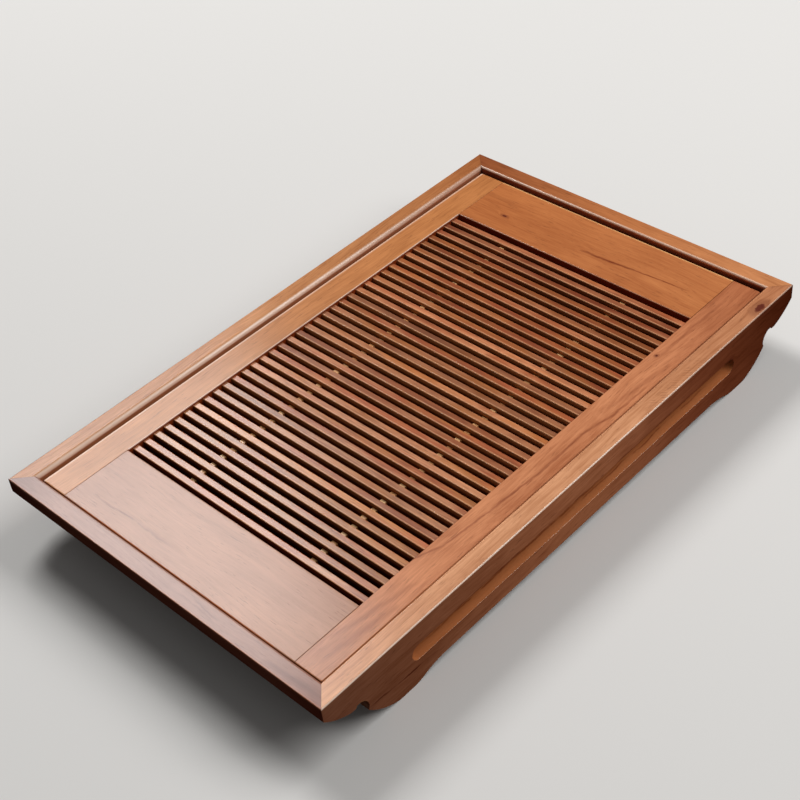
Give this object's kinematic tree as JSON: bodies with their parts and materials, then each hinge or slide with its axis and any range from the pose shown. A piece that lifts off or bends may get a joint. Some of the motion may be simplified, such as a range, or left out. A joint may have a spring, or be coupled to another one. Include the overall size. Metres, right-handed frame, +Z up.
{
  "type": "gongfu tea tray",
  "caption": "Low wooden tea tray on scrolled feet: mitred rim, lift-out slatted grille and a loose water tray beneath that catches the poured tea.",
  "frame": {"origin": "on the table under the centre of the tray", "axes": "+X along the tray's length, +Y across it away from the front board, +Z up"},
  "size_m": [0.47, 0.29, 0.05],
  "materials": {
    "frame_wood": "semi-gloss varnish",
    "grille_wood": "semi-gloss varnish",
    "slat_wood": "semi-gloss varnish",
    "spacer_wood": "satin",
    "inner_wood": "satin",
    "bottom_wood": "matt",
    "tray_plastic": "matt"
  },
  "bodies": {
    "frame": {"apron_left": "inner_wood", "apron_right": "inner_wood", "bottom_board": "bottom_wood", "corner_blocks": "inner_wood", "end_rail_left": "frame_wood", "end_rail_right": "frame_wood", "ledge_back": "inner_wood", "ledge_front": "inner_wood", "ledge_left": "inner_wood", "ledge_right": "inner_wood", "side_board_back": "frame_wood", "side_board_front": "frame_wood"},
    "grille": {"grille_end_left": "grille_wood", "grille_end_right": "grille_wood", "grille_rail_back": "grille_wood", "grille_rail_front": "grille_wood", "slat_01": "slat_wood", "slat_02": "slat_wood", "slat_03": "slat_wood", "slat_04": "slat_wood", "slat_05": "slat_wood", "slat_06": "slat_wood", "slat_07": "slat_wood", "slat_08": "slat_wood", "slat_09": "slat_wood", "slat_10": "slat_wood", "slat_11": "slat_wood", "slat_12": "slat_wood", "slat_13": "slat_wood", "slat_14": "slat_wood", "slat_15": "slat_wood", "slat_16": "slat_wood", "slat_17": "slat_wood", "slat_18": "slat_wood", "slat_19": "slat_wood", "slat_20": "slat_wood", "slat_21": "slat_wood", "slat_22": "slat_wood", "slat_23": "slat_wood", "slat_24": "slat_wood", "slat_25": "slat_wood", "slat_26": "slat_wood", "slat_27": "slat_wood", "slat_28": "slat_wood", "slat_29": "slat_wood", "slat_30": "slat_wood", "slat_31": "slat_wood", "slat_32": "slat_wood", "slat_33": "slat_wood", "slat_34": "slat_wood", "slat_35": "slat_wood", "slat_36": "slat_wood", "slat_37": "slat_wood", "spacer_row_back": "spacer_wood", "spacer_row_front": "spacer_wood"},
    "liner": {"water_tray": "tray_plastic"}
  },
  "joints": [
    {"name": "grille_lift", "type": "slide", "parent": "frame", "child": "grille", "axis": [0, 0, 1], "range_m": [0, 0.12]},
    {"name": "liner_lift", "type": "slide", "parent": "frame", "child": "liner", "axis": [0, 0, 1], "range_m": [0, 0.06]}
  ],
  "couplings": [
    {"joint": "liner_lift", "follows": "grille_lift", "ratio": 0.5}
  ]
}
